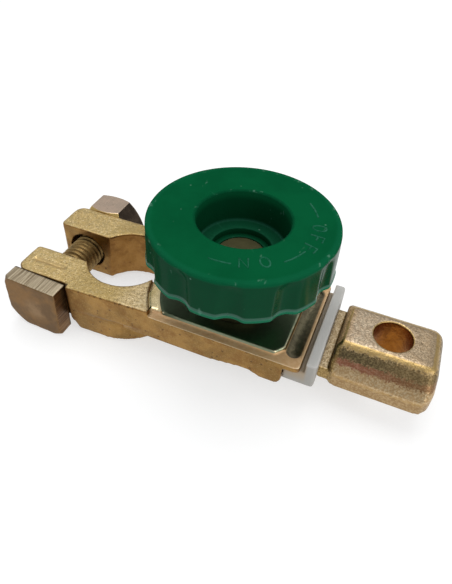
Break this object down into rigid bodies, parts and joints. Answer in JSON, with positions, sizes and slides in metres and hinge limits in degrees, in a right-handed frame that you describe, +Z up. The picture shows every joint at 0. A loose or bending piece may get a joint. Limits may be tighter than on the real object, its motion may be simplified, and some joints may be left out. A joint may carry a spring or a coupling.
{
  "type": "battery disconnect switch",
  "caption": "Brass battery-post clamp with a fluted green screw knob that presses a contact onto a square pad and so joins the clamp to an insulated cable lug.",
  "frame": {"origin": "axis of the tapered post seat at the clamp's underside", "axes": "+X from the post seat towards the cable lug, +Y from the bolt head towards the nut, +Z up along the post and the screw knob"},
  "size_m": [0.0939, 0.0413, 0.0344],
  "materials": {
    "cast_brass": "cast, fine sandy grain, lightly tarnished",
    "bolt_brass": "milled and turned, brown tarnish",
    "lug_brass": "plated, speckled",
    "screw_brass": "turned",
    "nylon": "translucent white nylon",
    "knob_green": "moulded, satin gloss"
  },
  "bodies": {
    "clamp": {"clamp_body": "cast_brass", "cable_lug": "lug_brass", "insulator_upper": "nylon", "insulator_lower": "nylon"},
    "bolt": {"clamp_bolt": "bolt_brass"},
    "nut": {"clamp_nut": "bolt_brass"},
    "washer": {"contact_washer": "screw_brass"},
    "knob": {"knob_shell": "knob_green", "knob_stud": "screw_brass"}
  },
  "joints": [
    {"name": "contact_lift", "type": "slide", "parent": "clamp", "child": "washer", "axis": [0, 0, 1], "range_m": [0, 0.00451]},
    {"name": "knob_turn", "type": "hinge", "parent": "washer", "child": "knob", "pos_m": [0.0275, 0, 0.0242], "axis": [0, 0, 1], "range_deg": [0, 1080]},
    {"name": "nut_turn", "type": "hinge", "parent": "clamp", "child": "nut", "pos_m": [-0.0152, 0.0165, 0.00615], "axis": [0, 1, 0], "range_deg": [0, 1803]},
    {"name": "bolt_travel", "type": "slide", "parent": "clamp", "child": "bolt", "axis": [0, -1, 0], "range_m": [0, 0.00625]}
  ],
  "couplings": [
    {"joint": "contact_lift", "follows": "knob_turn", "m_per_rad": 0.00023873},
    {"joint": "nut_turn", "follows": "bolt_travel", "rad_per_m": 5026.5}
  ]
}
